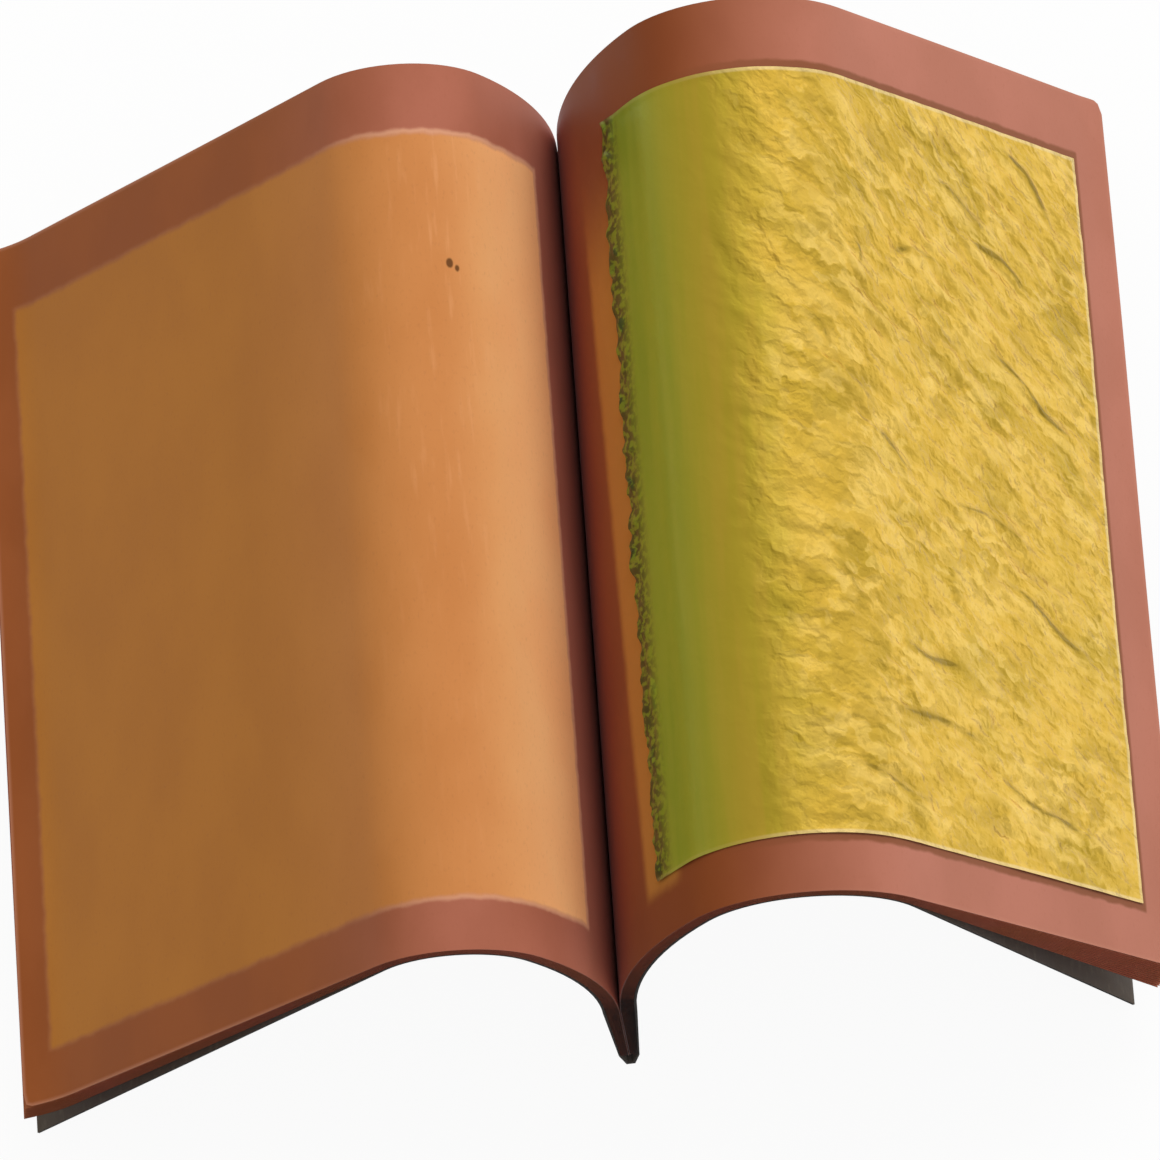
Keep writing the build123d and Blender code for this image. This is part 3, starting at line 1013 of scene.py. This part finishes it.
# %% Cover card
card, shader = new_material("cover card")
place = add(card, "TexCoord").outputs["Object"]
clouds = grain(card, place, 60.0, 4.0)
pulp = grain(card, place, 1400.0, 4.0, (1.0, 0.4, 1.0))
colour = mix(card, fade(card, clouds, 0.3, 0.7), srgb(104, 97, 94), srgb(98, 88, 78))
colour = mix(card, fade(card, pulp, 0.5, 0.75, 0.0, 0.35), colour, srgb(136, 126, 116))
colour = mix(card, cut_edge(card), colour, srgb(26, 19, 16))
plug(card, colour, shader.inputs["Base Color"])
shader.inputs["Roughness"].default_value = 0.75
shader.inputs["Specular IOR Level"].default_value = 0.2
bump = add(card, "Bump", {"Strength": 0.3, "Distance": 0.0001, "Height": pulp})
plug(card, bump.outputs["Normal"], shader.inputs["Normal"])
print("nodes in the card:", len(card.node_tree.nodes))

# %% Staple wire
steel, shader = new_material("staple wire")
place = add(steel, "TexCoord").outputs["Object"]
drawn = grain(steel, place, 2500.0, 3.0, (1.0, 0.2, 1.0))
colour = mix(steel, drawn, srgb(178, 178, 182), srgb(206, 206, 210))
plug(steel, colour, shader.inputs["Base Color"])
shader.inputs["Metallic"].default_value = 1.0
plug(steel, fade(steel, drawn, 0.3, 0.7, 0.25, 0.4), shader.inputs["Roughness"])
print("nodes in the wire:", len(steel.node_tree.nodes))

# %% [markdown]
# ### Putting them on
# The leaves are numbered from the front cover, and the booklet lies open after the thirteenth. So a leaf's
# number tells how deep it lies, and every three leaves down the cut edges take the next darker tone of
# painted shade.

# %% Put the materials on
last_left_leaf = 13
leaves_per_tone = 3


def dress(piece, material):
    """Puts a material in every slot of a piece, or in a new slot if it has none."""
    if not piece.material_slots:
        piece.data.materials.append(material)
    for slot in piece.material_slots:
        slot.material = material


def tissue_at(number):
    """The tissue for a leaf of the stack, by the leaf's number."""
    depth = last_left_leaf - number if number <= last_left_leaf else number - last_left_leaf - 1
    return stack_tissues[min(depth // leaves_per_tone, len(stack_tissues) - 1)]


for name, node in nodes.items():
    if name.startswith("tissue_leaf"):
        dress(node, tissue_at(int(name.split("_")[2])))
    elif name.startswith("gold_leaf"):
        dress(node, stack_gold)
    elif name.endswith("staple"):
        dress(node, steel)
    else:
        dress(node, card)
dress(pages[LEFT], left_tissue)
dress(pages[RIGHT], right_tissue)
dress(gold_leaf, foil)
print("materials:", len(bpy.data.materials))

# %% [markdown]
# ## Studio
# The floor is nearly white and keeps a faint shadow. What is seen of it is mostly its own glow, so it looks
# as white as a product picture's ground while it throws only a table's light back up at the booklet.

# %% Floor
floor_size = 6
glow_share = 0.94
bpy.ops.object.select_all(action="DESELECT")
bpy.ops.mesh.primitive_plane_add(size=floor_size)
floor = bpy.context.active_object
floor.name = "floor"
white, shader = new_material("pale floor")
place = add(white, "TexCoord").outputs["Object"]
tone = grain(white, place, 3.0, 2.0)
plug(white, mix(white, tone, srgb(250, 250, 250), srgb(247, 247, 247)), shader.inputs["Base Color"])
shader.inputs["Roughness"].default_value = 0.9
seen = add(white, "LightPath")
seen_by = calc(white, "MAXIMUM", seen.outputs["Is Camera Ray"], seen.outputs["Is Glossy Ray"])
seen_by = calc(white, "MAXIMUM", seen_by, seen.outputs["Is Transmission Ray"])
glow = add(white, "Emission", {"Color": srgb(255, 255, 255), "Strength": 1.0})
paper_white = add(white, "MixShader", {
    0: calc(white, "MULTIPLY", seen_by, glow_share),
    1: shader.outputs[0],
    2: glow.outputs[0],
})
plug(white, paper_white.outputs[0], white.node_tree.nodes["Material Output"].inputs["Surface"])
dress(floor, white)
print("floor", floor_size, "m wide")

# %% [markdown]
# ### Light
# The world is a plain pale dome. It is dimmer on the left, so the foil mirrors shade near the gutter and
# brightness beyond the crest. It is also dimmer toward the viewer and near the horizon, which gives the near
# edges their depth. One large lamp stands high up, behind the booklet and to its right.

# %% Dome
world = bpy.data.worlds.new("studio dome")
bpy.context.scene.world = world
world.use_nodes = True
direction = add(world, "TexCoord").outputs["Generated"]
split = add(world, "SeparateXYZ", {"Vector": direction})
to_right = add(world, "MapRange", {"Value": split.outputs["X"], "From Min": -1})
dome_colour = add(world, "ValToRGB", {"Fac": to_right.outputs["Result"]})
dome_stops = ((0.22, (0.40, 0.37, 0.30, 1)), (0.47, (0.84, 0.84, 0.82, 1)))
for stop, (position, colour) in zip(dome_colour.color_ramp.elements, dome_stops):
    stop.position = position
    stop.color = colour
horizon = fade(world, split.outputs["Z"], 0.0, 0.45, 0.76, 1.0)
behind = add(world, "MapRange", {"Value": split.outputs["Y"], "From Min": -0.1, "From Max": 0.7,
                                 "To Min": 0.72, "To Max": 1.2})
strength = calc(world, "MULTIPLY", horizon, behind.outputs["Result"])
background = world.node_tree.nodes["Background"]
plug(world, dome_colour.outputs["Color"], background.inputs["Color"])
plug(world, strength, background.inputs["Strength"])
print("nodes in the dome:", len(world.node_tree.nodes))

# %% Key light
lamp_place = Vector((0.38, 0.42, 0.64))
lit_point = Vector((0, 0, 0.03))
bpy.ops.object.light_add(type="AREA", location=lamp_place)
key = bpy.context.active_object
key.name = "key light"
key.data.energy = 3.0
key.data.size = 0.4
key.rotation_euler = (lamp_place - lit_point).to_track_quat("Z", "Y").to_euler()
key.visible_glossy = False
bpy.context.scene.view_settings.view_transform = "Standard"
print("lamp", round((lamp_place - lit_point).length, 2), "m away")

# %% [markdown]
# ## What each piece moves with
# An open page is pinched in the binding and turns about the line where it flexes. Here that line is only
# found and printed, and the CAD solids the page replaces are hidden. The gold leaf lifts off on its own
# body, and its CAD solid is hidden. Every other sheet keeps its CAD solid.

# %% Bodies and replaced nodes
for side, body in ((LEFT, "left_leaf"), (RIGHT, "right_leaf")):
    flex = along_page(side, flex_distance, leaf_width)[0][0]
    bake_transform(pages[side])
    print(body, "flexes at", [round(v / mm, 2) for v in flex])
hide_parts("tissue_leaf_13", "tissue_leaf_13_margin")
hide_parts("tissue_leaf_14", "tissue_leaf_14_margin")
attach(gold_leaf, "exposed_gold")
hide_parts("gold_leaf_13")
